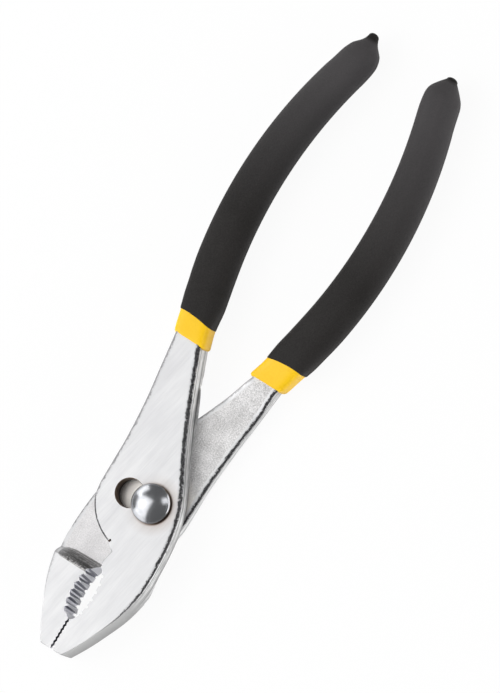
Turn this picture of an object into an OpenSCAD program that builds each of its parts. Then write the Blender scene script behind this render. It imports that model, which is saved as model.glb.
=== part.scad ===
// Slip joint pliers: two forged halves on a two-position pivot, with dipped grips.
// The origin is on the pivot axis, on the surface that the tool lies on.
// +X runs from the pivot to the handles, and +Z points up through the bolt's domed head.
// Each half is drawn in its own frame: x as above, v across from the tool's centre line
// towards that half's handle, h up from the lap plane towards that half's outer face.

/* [Pivot slot] */
// Distance between the two pivot positions
slot_pitch = 7.3; // [6.5:0.1:8.5]
// Lean of the slot towards the nose, in degrees
slot_lean = 5; // [0:0.5:10]
// Diameter of the two holes of the slot
hole_d = 8.6; // [8:0.1:9.4]
// Width of the neck between the two holes
neck_w = 5.6; // [4.5:0.1:6.5]
// Distance from the pivot to the tool's centre line
centre_y = 3.3; // [3:0.1:3.8]

/* [Lap] */
// Thickness of each half where they lap
lap_t = 5.4; // [4.5:0.1:6.5]
// Running gap between the two laps
lap_gap = 0.1; // [0.05:0.01:0.2]
// Radius of the boss round the pivot
boss_r = 16.2; // [15:0.1:17.5]
// How far the middle of the boss lies from the pivot, towards the handle side
boss_shift = 0.9; // [0:0.1:1.5]
// Half width of the lap beside the pivot, on the handle side
waist_half_w = 13.2; // [12:0.1:14]
// Distance from the pivot to the waist of the lap
waist_x = 10; // [8:0.5:13]
// Growth of the half width from the waist to the fork
fork_flare = 1.5; // [1:0.1:2.2]
// Distance from the pivot to the fork between the handles
fork_x = 26; // [23:0.5:29]
// How far each handle reaches past the centre line at the fork
fork_lap = 0.4; // [0:0.1:1]

/* [Jaws] */
// Distance from the boss to the foot of the jaw's ramp
ramp_set = 6.5; // [6:0.1:8]
// Run of the jaw's ramp
ramp_run = 3.8; // [2:0.1:5]
// Half width of the jaws at their widest
jaw_half_w = 14.9; // [14:0.1:16]
// Distance from the widest place of the jaws to the foot of the ramp
jaw_wide_set = 3.7; // [2:0.1:5]
// Distance from the foot of the ramp to the shoulder of the jaws
shoulder_set = 8.3; // [6:0.1:10]
// How far the shoulder's curve is drawn out past the widest place
shoulder_pull = 0.3; // [0:0.1:1]
// Narrowing of the jaw's side between its widest place and the pivot
cheek_in = 0.6; // [0.3:0.1:1.2]
// Distance from the pivot to the cheek, where that narrowing is measured
cheek_x = 6; // [4:0.5:8]
// Narrowing of the jaw's side past the pivot, where it turns into the handle
turn_in = 3.8; // [3:0.1:4.6]
// Distance from the pivot to that turn
turn_x = 5; // [3:0.5:7]
// Gap between the closed jaws
jaw_gap = 0.4; // [0.3:0.05:0.8]
// Length of the nose, past the pipe grip
nose_len = 10.2; // [7:0.2:14]
// Half width of the nose
nose_half_w = 3.9; // [3:0.1:5]
// Rounding of the nose's corner
nose_round = 1.2; // [0.6:0.1:2]

/* [Wire cutter] */
// Distance from the bottom of the cutter notch to the foot of the ramp
cutter_set = 5; // [4:0.1:5.5]
// Depth of the cutter notch past the centre line
cutter_depth = 0.45; // [0.3:0.05:1]
// Height of the cutter's tongue past the centre line
tongue_h = 0.3; // [0.1:0.05:0.4]
// Gap between the cutter's tongue and the other jaw's ramp
tongue_play = 0.7; // [0.4:0.05:1]

/* [Pipe grip] */
// Distance from the foot of the ramp to the pipe grip
mouth_set = 0.5; // [0.2:0.1:2]
// Length of the pipe grip
mouth_len = 17.2; // [14:0.1:20]
// Depth of the pipe grip in each jaw, to the tips of its teeth
mouth_depth = 2.9; // [2.5:0.1:4]
// Pitch of the pipe grip's teeth
tooth_pitch = 2.5; // [2:0.1:3]
// Depth of the pipe grip's teeth
tooth_depth = 0.8; // [0.4:0.05:1.2]

/* [Nose serration] */
// Pitch of the serration
serration_pitch = 1.3; // [1:0.05:2]
// Depth of the serration
serration_depth = 0.35; // [0.2:0.05:0.6]

/* [Handles] */
// Distance from the pivot to the place where the handles stand widest apart
bow_x = 95; // [90:1:100]
// Half of the handles' spread there, to the middle of a handle
bow_spread = 21; // [19:0.5:24]
// Radius of each handle's bow
bow_r = 142; // [132:1:160]
// Width of the steel where it enters the coats
handle_w = 8.8; // [8:0.1:9.6]
// How far the front handle reaches past the lap plane
front_drop = 3.8; // [2:0.1:4.6]
// How far the rear handle reaches past the lap plane
rear_drop = 2; // [1.2:0.1:3.6]
// Distance, past where the handles clear each other, at which they thicken past the lap plane
rise_play = 0.4; // [0.3:0.1:1]
// Run of the front handle's thickening
front_rise_run = 3.4; // [2.5:0.1:5]
// Run of the rear handle's thickening
rear_rise_run = 10; // [6:0.5:10]
// Width of the steel inside the coats
tang_w = 7.6; // [6.5:0.1:7.8]
// Thickness of the steel inside the coats
tang_t = 7.4; // [6.5:0.1:7.6]
// Distance from the end of a grip to the steel inside it
tang_stop = 10; // [9.5:0.5:20]

/* [Grips] */
// Distance from the pivot to the front handle's first coat
front_coat_x = 46; // [44:0.1:48]
// Distance from the pivot to the rear handle's first coat
rear_coat_x = 47; // [46:0.1:49]
// Length of first coat that shows on the front handle
front_band = 6.4; // [4:0.1:9]
// Length of first coat that shows on the rear handle
rear_band = 7.2; // [4:0.1:9]
// Distance from the pivot to the end of the front grip
front_reach = 148; // [140:0.5:156]
// Distance from the pivot to the end of the rear grip
rear_reach = 149.2; // [140:0.5:156]
// Thickness of the first coat at its mouth, on the handle's edges
under_t = 1.1; // [0.9:0.05:1.4]
// Thickness of the first coat at its mouth, on the handle's outer face
face_coat_t = 0.35; // [0.25:0.05:0.6]
// Thickness of the outer coat
grip_t = 0.45; // [0.3:0.05:0.7]
// Width of a finished grip
grip_w = 13; // [12.2:0.1:14]
// Width that a grip has lost where its end starts to round
grip_taper = 1.2; // [0:0.1:1.4]
// How square the coats are at the mouth: 2 is an ellipse
mouth_square = 5.5; // [5:0.1:7]
// How square the coats are along the grip: 2 is an ellipse
grip_square = 2.3; // [2.2:0.1:2.8]
// Distance over which the coats swell to the full grip
swell_run = 16; // [10:1:24]
// Length of a grip's rounded end
end_len = 11.5; // [9:0.5:12]
// Width of the drip at the end of a grip
drip_w = 2.4; // [1.6:0.1:3]
// Length of the drip
drip_len = 2.2; // [1.5:0.1:3]
// How far the drip lies off the middle, away from the other handle
drip_shift = 2.6; // [0:0.1:3]

/* [Pivot bolt] */
// How far the bolt's head reaches past the slot's hole
head_lip = 1.55; // [1.2:0.05:2.2]
// Height of the bolt's head
head_h = 3.2; // [2.4:0.1:4]
// Height of the straight rim under the head's dome
head_rim = 0.5; // [0.3:0.1:1]
// Gap between the head and the front face
head_gap = 0.1; // [0.05:0.01:0.2]
// Radial clearance of the bolt in the slot, in its bore and in the nut
bolt_play = 0.05; // [0.02:0.01:0.1]
// Diameter of the bolt's journal in the rear half
journal_d = 7; // [6.6:0.1:7.6]
// Diameter of the bolt's threaded end
thread_d = 6; // [5:0.1:6.4]

/* [Pivot nut] */
// Width of the nut across its flats
nut_w = 10; // [9:0.1:11]
// Height of the nut
nut_h = 3; // [2.4:0.1:3.4]
// Clearance round the nut in its counterbore
nut_play = 0.5; // [0.3:0.1:0.8]

/* [Hidden] */
$fn = 64;

// Levels that the pieces share: the nut's face and the grips' undersides lie in one plane
nut_proud = face_coat_t + grip_t;
lap_z = nut_proud + lap_t;
face_z = lap_z + lap_t;
coat_h = lap_t + face_coat_t;

// Distances from the pivot along the jaws
ramp_foot_x = boss_r + ramp_set;
mouth_start_x = ramp_foot_x + mouth_set;
mouth_mid_x = mouth_start_x + mouth_len / 2;
mouth_end_x = mouth_start_x + mouth_len;
nose_reach = mouth_end_x + nose_len;

// The two halves, and sizes that differ between them, front then rear
front = 0;
rear = 1;
drop = [front_drop, rear_drop];
rise_run = [front_rise_run, rear_rise_run];
coat_x = [front_coat_x, rear_coat_x];
band = [front_band, rear_band];
reach = [front_reach, rear_reach];
// Share of a pitch by which the teeth are moved, so that the jaws mesh
tooth_shift = [0, 0.25];

// Steps along curves, and the angles at which the boss starts and ends
curve_steps = 6;
tang_steps = 14;
coat_steps = 16;
ring_steps = 24;
end_angles = [0, 20, 40, 58, 72];
boss_from = 115;
boss_to = 163;
boss_step = 8;

// How late the end of a grip drifts to its drip, and the length of the drip's rounded tip
drift_power = 4;
drip_round = drip_w / 6;

// How far cutting shapes run past what they cut
past = 1;

// Colours
steel = [0.80, 0.80, 0.82];
forged = [0.70, 0.70, 0.71];
bolt_steel = [0.60, 0.62, 0.65];
nut_steel = [0.55, 0.56, 0.58];
yellow = [0.99, 0.80, 0.10];
charcoal = [0.20, 0.19, 0.19];

// A value that goes smoothly from 0 at a to 1 at b
function ease(x, a, b) =
    let (t = min(1, max(0, (x - a) / (b - a))))
    t * t * (3 - 2 * t);

function mix(a, b, t) = a + (b - a) * t;

function reversed(points) = [for (i = [len(points) - 1:-1:0]) points[i]];

// A quadratic curve from a to c, bent towards b
function bend(a, b, c, steps) = [
    for (i = [0:steps])
        let (t = i / steps)
        a * (1 - t) * (1 - t) + b * 2 * t * (1 - t) + c * t * t
];

// A smooth curve through a list of points, without its last point
function through(points, steps) = [
    for (i = [0:len(points) - 2], j = [0:steps - 1])
        let (
            p0 = points[max(0, i - 1)],
            p1 = points[i],
            p2 = points[i + 1],
            p3 = points[min(len(points) - 1, i + 2)],
            t = j / steps
        )
        (p1 * 2 + (p2 - p0) * t + (p0 * 2 - p1 * 5 + p2 * 4 - p3) * t * t
            + (p1 * 3 - p0 - p2 * 3 + p3) * t * t * t) / 2
];

// Middle of a handle, across from the centre line
function handle_mid(x) =
    bow_spread - bow_r + sqrt(bow_r * bow_r - (x - bow_x) * (x - bow_x));

// Where the coats have swollen to the full grip
function full_x(side) = coat_x[side] + swell_run;

// A long edge of the steel inside the coats: edge -1 faces the other handle, edge 1 faces away from it
function tang_edge(side, edge) = [
    for (i = [0:tang_steps])
        let (
            x = mix(coat_x[side], reach[side] - tang_stop, i / tang_steps),
            w = mix(handle_w, tang_w, ease(x, coat_x[side], full_x(side)))
        )
        [x, handle_mid(x) + edge * w / 2]
];

// A long edge of the steel where it enters the coats
function coat_edge(side, edge) =
    [coat_x[side], handle_mid(coat_x[side]) + edge * handle_w / 2];

// Where the inner edges of the handles clear each other with the pivot in its far hole
function rise_x(side) =
    let (
        edge = coat_edge(side, -1),
        slope = (edge[1] + fork_lap) / (edge[0] - fork_x)
    )
    fork_x + (slot_pitch / 2 + fork_lap) / slope + rise_play;

// Outer edge of a half, from its coat to its boss
function outer_edge(side) =
    through([
        coat_edge(side, 1),
        [fork_x, waist_half_w + fork_flare],
        [waist_x, waist_half_w],
        boss_point(boss_from)
    ], curve_steps);

function boss_point(a) =
    [boss_r * cos(a), boss_r * sin(a) + boss_shift - centre_y];

// Boss, then the cutter's notch and tongue between the boss and the pipe grip
function boss_and_cutter() = concat(
    [for (a = [boss_from:boss_step:boss_to]) boss_point(a)],
    [
        [cutter_set - ramp_foot_x, -cutter_depth],
        [tongue_play - ramp_foot_x, tongue_h],
        [tongue_play - ramp_foot_x, -jaw_gap / 2]
    ]
);

// Roots and tips of a row of teeth, as [distance from the start of the row, is it a root]
function tooth_row(side, row_len, pitch) = [
    for (i = [0:floor(row_len / pitch - 0.5) - 1], root = [1, 0])
        [(i + 1 - root / 2 + tooth_shift[side]) * pitch, root]
];

// Pipe grip: tips on an ellipse, roots outside it
function mouth_v(x) =
    -jaw_gap / 2 - mouth_depth * sqrt(max(0, 1 - pow((x + mouth_mid_x) / (mouth_len / 2), 2)));

function mouth_teeth(side) = concat(
    [[-mouth_start_x, -jaw_gap / 2]],
    [
        for (tooth = tooth_row(side, mouth_len, tooth_pitch))
            let (x = -mouth_start_x - tooth[0])
            [x, mouth_v(x) - tooth[1] * tooth_depth]
    ],
    [[-mouth_end_x, -jaw_gap / 2]]
);

function nose_serration(side) = [
    for (tooth = tooth_row(side, nose_len, serration_pitch))
        [-mouth_end_x - tooth[0], -jaw_gap / 2 - tooth[1] * serration_depth]
];

// Nose and outer side of a jaw, to its widest place
function jaw_side() = concat(
    [
        [-nose_reach, -jaw_gap / 2],
        [-nose_reach, nose_round - nose_half_w]
    ],
    bend(
        [nose_round - nose_reach, -nose_half_w - nose_round / 2],
        [-ramp_foot_x - shoulder_set, -jaw_half_w - shoulder_pull],
        [jaw_wide_set - ramp_foot_x, -jaw_half_w],
        2 * curve_steps
    )
);

// Inner edge of a half, from the jaw's widest place to its coat
function inner_edge(side) =
    through([
        [jaw_wide_set - ramp_foot_x, -jaw_half_w],
        [-cheek_x, cheek_in - jaw_half_w],
        [turn_x, turn_in - jaw_half_w],
        [fork_x, -fork_lap],
        coat_edge(side, -1)
    ], curve_steps);

module half_plan(side) {
    polygon(concat(
        reversed(tang_edge(side, 1)),
        outer_edge(side),
        boss_and_cutter(),
        mouth_teeth(side),
        nose_serration(side),
        jaw_side(),
        inner_edge(side),
        tang_edge(side, -1)
    ));
}

// Side view of a half: full jaw, ramp, lap, handle and the steel inside the coats
module half_profile(side) {
    rise_end = min(rise_x(side) + rise_run[side], coat_x[side] - past / 2);
    polygon([
        [-nose_reach - past, lap_t],
        [coat_x[side], lap_t],
        [full_x(side), tang_t / 2],
        [reach[side], tang_t / 2],
        [reach[side], -tang_t / 2],
        [full_x(side), -tang_t / 2],
        [coat_x[side], -drop[side]],
        [rise_end, -drop[side]],
        [rise_x(side), lap_gap / 2],
        [-ramp_foot_x, lap_gap / 2],
        [-ramp_foot_x - ramp_run, -lap_t],
        [-nose_reach - past, -lap_t]
    ]);
}

// One forged half without its holes, in its own frame
module half_blank(side) {
    deep = 2 * (bow_spread + jaw_half_w + handle_w);
    intersection() {
        translate([0, 0, -lap_t - past])
            linear_extrude(2 * (lap_t + past))
                half_plan(side);
        translate([0, deep / 2, 0])
            rotate([90, 0, 0])
                linear_extrude(deep)
                    half_profile(side);
    }
}

// Puts a piece of one half in the tool: the rear half is the front half turned over
module place(side) {
    translate([0, centre_y, lap_z])
        rotate([side == rear ? 180 : 0, 0, 0])
            children();
}

// The slot through the front half
module slot() {
    rotate([0, 0, slot_lean]) {
        cylinder(h = face_z + past, d = hole_d);
        translate([0, slot_pitch, 0])
            cylinder(h = face_z + past, d = hole_d);
        translate([-neck_w / 2, 0, 0])
            cube([neck_w, slot_pitch, face_z + past]);
    }
}

// A signed power, for the rounded sections
function bulge(c, power) = sign(c) * pow(abs(c), power);

// One section of a coat, across x: squarish at the mouth, round along the grip,
// grown by extra and shrunk towards the end
function coat_ring(x, side, extra, shrink, shift) =
    let (
        full = ease(x, coat_x[side], full_x(side)),
        taper = grip_taper * ease(x, full_x(side), reach[side] - end_len),
        top = coat_h + extra,
        bottom = mix(drop[side] + under_t, coat_h, full) + extra,
        half_w = (mix(handle_w / 2 + under_t, grip_w / 2 - grip_t, full) + extra - taper / 2) * shrink,
        half_t = (top + bottom) / 2 * shrink,
        mid_h = (top - bottom) / 2,
        power = mix(2 / mouth_square, 2 / grip_square, full)
    )
    [
        for (j = [0:ring_steps - 1])
            let (a = 360 * j / ring_steps)
            [
                x,
                handle_mid(x) + shift + half_w * bulge(cos(a), power),
                mid_h + half_t * bulge(sin(a), power)
            ]
    ];

// All sections of a coat, from its mouth to its rounded end
function coat_rings(side, mouth, extra) =
    let (
        round_start = reach[side] - drip_len - end_len,
        round_len = end_len - grip_t + extra
    )
    concat(
        [
            for (i = [0:coat_steps - 1])
                coat_ring(mix(mouth, round_start, i / coat_steps), side, extra, 1, 0)
        ],
        [
            for (a = end_angles)
                coat_ring(round_start + round_len * sin(a), side, extra, cos(a),
                    drip_shift * pow(sin(a), drift_power))
        ],
        [coat_ring(round_start + round_len, side, extra, drip_w / grip_w, drip_shift)]
    );

// The drip on the end of an outer coat, rounded at its tip
function drip_rings(side) =
    let (shrink = drip_w / grip_w)
    [
        coat_ring(reach[side] - drip_round, side, grip_t, shrink, drip_shift),
        coat_ring(reach[side], side, grip_t, shrink / 2, drip_shift)
    ];

// A closed skin over a list of rings
module skin(rings) {
    n = len(rings[0]);
    last = len(rings) - 1;
    points = [for (ring = rings, p = ring) p];
    sides = [
        for (i = [0:last - 1], j = [0:n - 1], upper = [0, 1])
            let (
                a = i * n + j,
                b = i * n + (j + 1) % n
            )
            upper == 0 ? [a, a + n, b] : [b, a + n, b + n]
    ];
    mouth = [for (j = [0:n - 1]) j];
    tip = [for (j = [n - 1:-1:0]) last * n + j];
    polyhedron(points, concat(sides, [mouth, tip]));
}

module under_coat(side) {
    skin(coat_rings(side, coat_x[side], 0));
}

module under_grip(side) {
    place(side)
        difference() {
            under_coat(side);
            half_blank(side);
        }
}

module grip(side) {
    place(side)
        difference() {
            skin(concat(coat_rings(side, coat_x[side] + band[side], grip_t), drip_rings(side)));
            under_coat(side);
        }
}

module front_half() {
    color(steel)
        difference() {
            place(front)
                half_blank(front);
            slot();
        }
}

module rear_half() {
    counterbore_d = nut_w / cos(30) + 2 * nut_play;
    color(forged)
        difference() {
            place(rear)
                half_blank(rear);
            cylinder(h = face_z, d = journal_d + 2 * bolt_play);
            cylinder(h = nut_h + lap_gap, d = counterbore_d);
        }
}

// Domed head, shank with two flats for the slot, journal for the rear half, threaded end for the nut.
// The shank and the journal pass each other inside the lap's gap.
module pivot_bolt() {
    head_z = face_z + head_gap;
    head_d = hole_d + 2 * head_lip;
    shank_z = lap_z - lap_gap / 4;
    shank_d = hole_d - 2 * bolt_play;
    flat_w = neck_w - 2 * bolt_play;
    journal_top = lap_z + lap_gap / 4;
    dome_h = head_h - head_rim;
    dome_r = (head_d * head_d / 4 + dome_h * dome_h) / (2 * dome_h);
    color(bolt_steel)
        union() {
            cylinder(h = nut_h + past, d = thread_d);
            translate([0, 0, nut_h])
                cylinder(h = journal_top - nut_h, d = journal_d);
            translate([0, 0, shank_z])
                linear_extrude(head_z + head_rim - shank_z)
                    intersection() {
                        circle(d = shank_d);
                        rotate(slot_lean)
                            square([flat_w, hole_d], center = true);
                    }
            translate([0, 0, head_z])
                intersection() {
                    translate([0, 0, head_h - dome_r])
                        rotate([90, 0, 0])
                            sphere(r = dome_r);
                    cylinder(h = head_h, d = head_d);
                }
        }
}

module pivot_nut() {
    color(nut_steel)
        difference() {
            cylinder(h = nut_h, d = nut_w / cos(30), $fn = 6);
            translate([0, 0, -past])
                cylinder(h = nut_h + 2 * past, d = thread_d + 2 * bolt_play);
        }
}

module front_under_grip() { color(yellow) under_grip(front); }
module rear_under_grip() { color(yellow) under_grip(rear); }
module front_grip() { color(charcoal) grip(front); }
module rear_grip() { color(charcoal) grip(rear); }

front_half();
rear_half();
pivot_bolt();
pivot_nut();
front_under_grip();
rear_under_grip();
front_grip();
rear_grip();
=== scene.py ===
import math

import bmesh
import bpy
from mathutils import Matrix, Vector


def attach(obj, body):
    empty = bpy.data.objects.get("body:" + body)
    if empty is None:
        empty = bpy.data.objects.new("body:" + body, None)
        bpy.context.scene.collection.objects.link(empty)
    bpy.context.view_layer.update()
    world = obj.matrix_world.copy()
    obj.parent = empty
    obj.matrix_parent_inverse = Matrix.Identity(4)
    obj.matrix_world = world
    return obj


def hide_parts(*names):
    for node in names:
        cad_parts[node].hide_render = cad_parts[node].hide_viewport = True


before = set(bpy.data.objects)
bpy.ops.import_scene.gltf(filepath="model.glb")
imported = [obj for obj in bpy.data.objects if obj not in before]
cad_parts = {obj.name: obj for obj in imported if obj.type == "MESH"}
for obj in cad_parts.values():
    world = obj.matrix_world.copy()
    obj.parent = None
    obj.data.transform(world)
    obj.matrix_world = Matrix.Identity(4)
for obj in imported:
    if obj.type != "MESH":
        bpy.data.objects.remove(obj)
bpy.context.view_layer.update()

print("frame loaded:", sorted(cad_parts))

mm = 0.001

# sizes that several pieces share, in mm
tool = {
    "centreY": 3.3,          # pivot to the tool's centre line
    "lapZ": 6.2,             # height of the lap plane over the floor
    "lapThick": 5.4,
    "lapGap": 0.1,
    "slotPitch": 7.3,
    "slotLean": 5,           # degrees
    "holeDia": 8.6,
    "neckWide": 5.6,
    "bowX": 95,
    "bowSpread": 20.92,
    "bowRadius": 142,
}


# pipe grip between the jaws, in a half's own frame; its wall leans, so it is deeper at the inner side
mouth = {
    "middleX": -31.8,
    "halfLong": 8.6,
    "innerDeep": 3.1,
    "outerDeep": 2.45,
    "jawLevel": -0.2,
    "toothDeep": 0.85,
    "toothLean": -1.0,       # along the tool, from the inner side to the outer
    "toothShare": 0.97,      # groove's part of the pitch at the inner side
    "toothNarrow": 0.55,     # how much of that is left at the outer side
    "rootShare": 0.3,        # flat of the root, as a part of a hexagon's side
    "rootReach": 0.4,        # part of the groove, from its middle, that belongs to the root
    "toothStart": {"front": -25.2, "rear": -25.95},
    "toothPitch": {"front": 2.44, "rear": 2.5},
    "toothCount": 6,
    "barOver": 2,            # how far the grooves' cutters reach past the faces
}


def ease(x, a, b):
    t = min(1, max(0, (x - a) / (b - a)))
    return t * t * (3 - 2 * t)


def mix(a, b, t):
    return a + (b - a) * t


def curveAt(knots, x):  # smooth curve through knots that rise in x
    last = len(knots) - 1
    i = max(0, min(last - 1, sum(1 for k in knots[1:-1] if x >= k[0])))

    def slope(j):
        a, b = knots[max(0, j - 1)], knots[min(last, j + 1)]
        return (b[1] - a[1]) / (b[0] - a[0])

    (x0, v0), (x1, v1) = knots[i], knots[i + 1]
    run = x1 - x0
    t = (x - x0) / run
    return (
        v0 * (2 * t**3 - 3 * t**2 + 1)
        + slope(i) * run * (t**3 - 2 * t**2 + t)
        + v1 * (3 * t**2 - 2 * t**3)
        + slope(i + 1) * run * (t**3 - t**2)
    )


def spread(a, b, step):  # even values from a to b, about step apart
    n = max(1, round(abs(b - a) / step))
    return [mix(a, b, i / n) for i in range(n + 1)]


def handleMid(x):  # middle of a handle, across from the centre line
    r = tool["bowRadius"]
    return tool["bowSpread"] - r + math.sqrt(r * r - (x - tool["bowX"]) ** 2)


def placeMatrix(side):  # from a half's own frame in mm to the tool's frame in metres
    shift = Matrix.Translation((0, tool["centreY"], tool["lapZ"]))
    turn = Matrix.Rotation(math.pi if side == "rear" else 0, 4, "X")
    return Matrix.Scale(mm, 4) @ shift @ turn


# materials

def addNode(tree, kind, inputs=None, **props):
    made = tree.nodes.new(kind)
    for key, value in props.items():
        setattr(made, key, value)
    for key, value in (inputs or {}).items():
        if isinstance(value, bpy.types.NodeSocket):
            tree.links.new(value, made.inputs[key])
        else:
            made.inputs[key].default_value = value
    return made


def ramp(tree, factor, stops):  # stops: (place, grey or colour)
    made = addNode(tree, "ShaderNodeValToRGB", {"Fac": factor})
    while len(made.color_ramp.elements) < len(stops):
        made.color_ramp.elements.new(0.5)
    for element, (place, colour) in zip(made.color_ramp.elements, stops):
        element.position = place
        if not isinstance(colour, tuple):
            colour = (colour, colour, colour)
        element.color = (*colour, 1)
    return made.outputs["Color"]


def math2(tree, operation, a, b=0.0, third=0.0):
    return addNode(tree, "ShaderNodeMath", {0: a, 1: b, 2: third}, operation=operation).outputs[0]


def mixColour(tree, factor, a, b, blend="MIX"):
    made = addNode(tree, "ShaderNodeMix", data_type="RGBA", blend_type=blend)
    for key, value in (("Factor_Float", factor), ("A_Color", a), ("B_Color", b)):
        socket = next(s for s in made.inputs if s.identifier == key)
        if isinstance(value, bpy.types.NodeSocket):
            tree.links.new(value, socket)
        else:
            socket.default_value = value if key == "Factor_Float" else (*value, 1)
    return next(s for s in made.outputs if s.identifier == "Result_Color")


def noise(tree, vector, scale, detail=4.0, rough=0.55):
    made = addNode(tree, "ShaderNodeTexNoise", {
        "Vector": vector, "Scale": scale, "Detail": detail, "Roughness": rough})
    return made.outputs["Fac"]


def stretched(tree, coords, turn, long):  # coordinates for marks drawn out along one way
    made = addNode(tree, "ShaderNodeMapping", {
        "Vector": coords, "Rotation": (0, 0, math.radians(turn)), "Scale": long}, vector_type="TEXTURE")
    return made.outputs[0]


def attribute(tree, name):
    return addNode(tree, "ShaderNodeAttribute", attribute_name=name).outputs["Fac"]


def axis(tree, vector, name):
    return addNode(tree, "ShaderNodeSeparateXYZ", {0: vector}).outputs[name]


def ranged(tree, value, start, stop, low=0.0, high=1.0):  # low up to start, high from stop on
    return addNode(tree, "ShaderNodeMapRange", {0: value, 1: start, 2: stop, 3: low, 4: high}).outputs[0]


def pivotDistance(tree, coords):  # from the pivot's axis
    flat = addNode(tree, "ShaderNodeVectorMath", {0: coords, 1: (1, 1, 0)}, operation="MULTIPLY").outputs[0]
    return addNode(tree, "ShaderNodeVectorMath", {0: flat}, operation="LENGTH").outputs["Value"]


def facingBack(tree):  # how far the surface faces the handles, from -1 to 1
    normal = addNode(tree, "ShaderNodeNewGeometry").outputs["Normal"]
    turned = addNode(tree, "ShaderNodeVectorTransform", {"Vector": normal},
                     vector_type="NORMAL", convert_from="WORLD", convert_to="OBJECT").outputs[0]
    return axis(tree, turned, "X")


def blendOf(tree, *parts):  # sum of (value, share)
    total = 0.0
    for value, share in parts:
        total = math2(tree, "MULTIPLY_ADD", value, share, third=total)
    return total


def startMaterial(name, **constants):
    mat = bpy.data.materials.new(name)
    mat.use_nodes = True
    tree = mat.node_tree
    shader = tree.nodes["Principled BSDF"]
    for key, value in constants.items():
        shader.inputs[key.replace("_", " ")].default_value = value
    coords = addNode(tree, "ShaderNodeTexCoord").outputs["Object"]
    return mat, tree, shader, coords


def dress(tree, shader, colour, rough, height, strength, distance):  # distance of the relief in mm
    relief = addNode(tree, "ShaderNodeBump", {
        "Height": height, "Strength": strength, "Distance": distance * mm})
    tree.links.new(relief.outputs[0], shader.inputs["Normal"])
    tree.links.new(colour, shader.inputs["Base Color"])
    if isinstance(rough, bpy.types.NodeSocket):
        tree.links.new(rough, shader.inputs["Roughness"])
    else:
        shader.inputs["Roughness"].default_value = rough


# shades of the steel, dark and pale where it is mottled
steel = {
    "metal": 0.55,             # metallic share of satin and forged steel, the rest scatters
    "beltTurn": -12,           # lie of the grinding marks, degrees
    "ground": ((0.575, 0.575, 0.588), (0.685, 0.685, 0.69)),
    "oilStainAndShade": (0.3, 0.19, 0.12),                 # old oil round the bolt's head, made stronger on the -Y side by painted shade
    # painted shadow of the head: a dark crescent on the face just outside its rim, on the -Y side
    "headShade": (0.05, 0.03, 0.022),
    "skin": ((0.385, 0.38, 0.38), (0.835, 0.825, 0.825)),
    "cleanSkin": ((0.56, 0.55, 0.555), (0.765, 0.755, 0.76)),
    "pivotPaintedLight": (0.8, 0.77, 0.73),                # painted light round the pivot, where the lap plane at the slot's floor lies in shade
    "pivotPatchRough": (0.36, 0.36, 0.36),
    # painted shade on the face's flat strip by the edge, as if the face rolled off there
    "rollOffShade": (0.2, 0.2, 0.22),
    # painted shade on faces of the jaw wall that turn towards the nose
    "noseShade": (0.2, 0.2, 0.21),
    "scale": ((0.006, 0.006, 0.008), (0.16, 0.157, 0.16)),
    "milling": ((0.42, 0.41, 0.41), (1.5, 1.48, 1.47)),
    "rampEnds": (0.5, 0.5, 0.51),
    "noseFlankLit": ((0.13, 0.135, 0.175), (0.23, 0.235, 0.29)),
    "pivotFlankShaded": ((0.08, 0.085, 0.112), (0.18, 0.19, 0.24)),
    # painted highlight along the teeth's roots
    "rootHighlight": (0.95, 0.95, 1.0),
    "bore": ((0.09, 0.06, 0.04), (0.36, 0.265, 0.195)),
    # painted shadow at the foot of the slot's wall
    "boreFootShadow": (0.012, 0.009, 0.007),
    # painted shade at the foot of the bolt head's rim
    "rimShade": (0.12, 0.08, 0.055),
}


def mottled(tree, value, start, stop, shades):
    return ramp(tree, value, [(start, shades[0]), (stop, shades[1])])


def groundLook(tree, coords):  # colour and marks of a belt-ground face: fine streaks over a soft cloud
    streaks = noise(tree, stretched(tree, coords, steel["beltTurn"], (18, 1, 1)), 2600, 3)
    broad = noise(tree, stretched(tree, coords, steel["beltTurn"], (8, 1, 1)), 420, 4)
    cloud = noise(tree, coords, 60, 3)
    marks = blendOf(tree, (streaks, 0.5), (broad, 0.5))
    tone = blendOf(tree, (marks, 0.7), (cloud, 0.3))
    colour = mottled(tree, tone, 0.32, 0.64, steel["ground"])
    # oil stain ring round the bolt's head; the Y ramp below strengthens it on the -Y side as painted shade
    away = math2(tree, "MULTIPLY", pivotDistance(tree, coords), 100.0)
    ring = ramp(tree, away, [(0.585, 1.0), (0.66, 0.3), (0.95, 0.0)])
    shaded = ranged(tree, axis(tree, coords, "Y"), 0.004, -0.005, 0.25)
    oiledAndShaded = mixColour(tree, math2(tree, "MULTIPLY", ring, shaded), colour, steel["oilStainAndShade"])
    # painted shadow of the head: a dark crescent just outside its rim, stronger towards -Y
    crescent = ramp(tree, away, [(0.605, 1.0), (0.64, 0.0)])
    headShade = math2(tree, "MULTIPLY", crescent, math2(tree, "POWER", shaded, 3.0))
    return mixColour(tree, headShade, oiledAndShaded, steel["headShade"]), marks


def groundSteel(name):
    mat, tree, shader, coords = startMaterial(name, Metallic=steel["metal"])
    colour, marks = groundLook(tree, coords)
    dress(tree, shader, colour, ramp(tree, marks, [(0.3, 0.48), (0.7, 0.38)]), marks, 0.12, 0.05)
    return mat


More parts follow.
